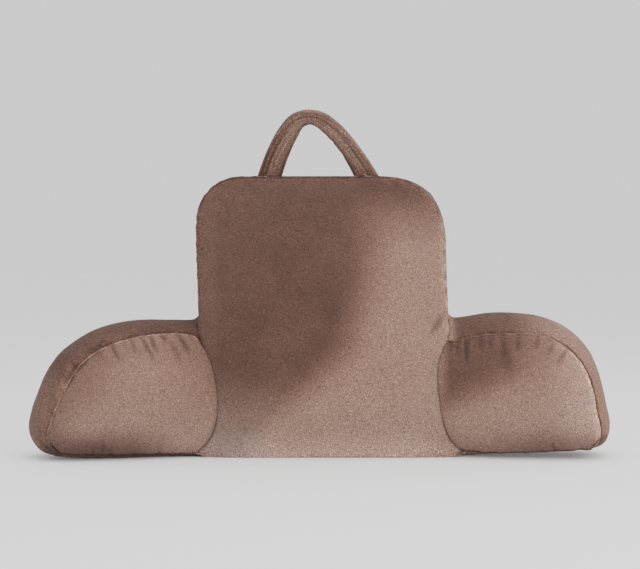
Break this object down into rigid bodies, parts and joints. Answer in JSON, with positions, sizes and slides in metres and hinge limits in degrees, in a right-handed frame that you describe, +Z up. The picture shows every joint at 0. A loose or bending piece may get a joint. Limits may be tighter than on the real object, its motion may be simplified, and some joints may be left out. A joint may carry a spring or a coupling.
{
  "type": "reading pillow with arms",
  "caption": "Stuffed plush reading pillow: upright backrest with rounded top corners, D-shaped arms opened out at its sides, and a strap handle on its top seam.",
  "frame": {"origin": "middle of the flat underside that the backrest stands on, on the standing surface", "axes": "+X to the right as the pillow is faced, -Y out of its front, +Z up"},
  "size_m": [1.052, 0.2232, 0.6295],
  "materials": {
    "body_plush": "short-pile plush in taupe brown, dull, with a soft sheen and darker patches where the pile is brushed the other way",
    "strap_plush": "the same short-pile plush sewn into a flat stuffed strap, a little darker"
  },
  "bodies": {
    "root": {"backrest": "body_plush", "arm_left": "body_plush", "arm_right": "body_plush", "handle": "strap_plush"}
  },
  "joints": []
}
